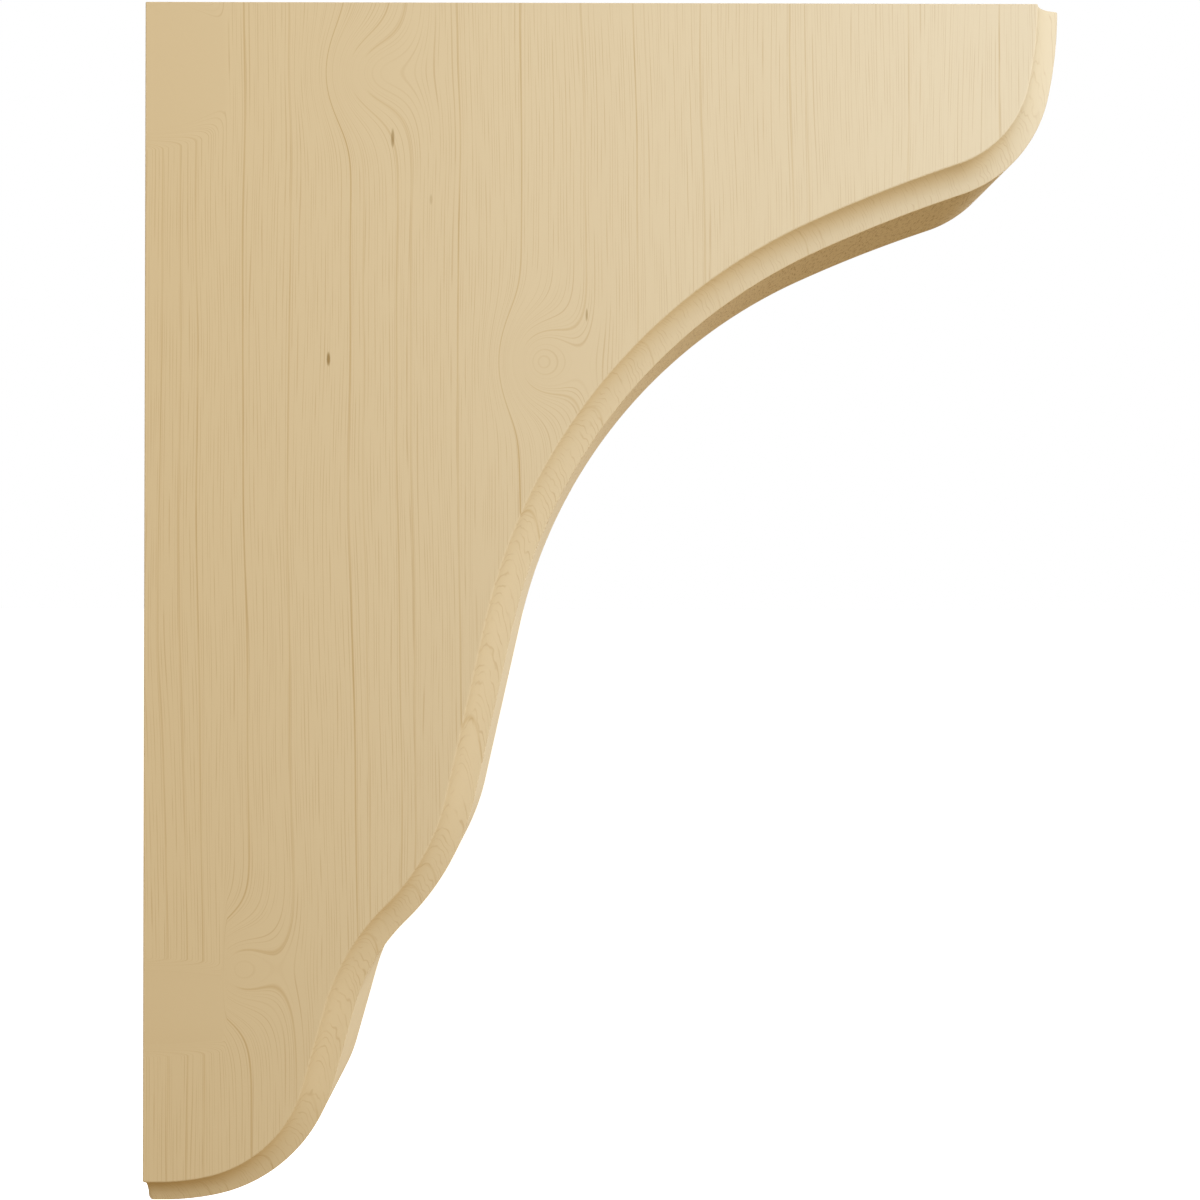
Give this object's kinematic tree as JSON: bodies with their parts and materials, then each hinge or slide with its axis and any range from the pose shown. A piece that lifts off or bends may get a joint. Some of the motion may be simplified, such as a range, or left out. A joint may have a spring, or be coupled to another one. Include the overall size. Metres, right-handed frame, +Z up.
{
  "type": "wooden corbel bracket",
  "caption": "Solid wood corbel bracket cut from one board, with a flat wall face, a flat top to carry a shelf, a double-curved front edge and a cove along that edge on both faces.",
  "frame": {"origin": "middle of the flat wall face, half way up and half way through the thickness", "axes": "+X out from the wall, +Z up, +Y through the thickness from the shown face to the hidden one"},
  "size_m": [0.1933, 0.0444, 0.254],
  "materials": {
    "wood": "bare pale hardwood, planed and sanded smooth, unvarnished"
  },
  "bodies": {
    "root": {"bracket": "wood"}
  },
  "joints": []
}
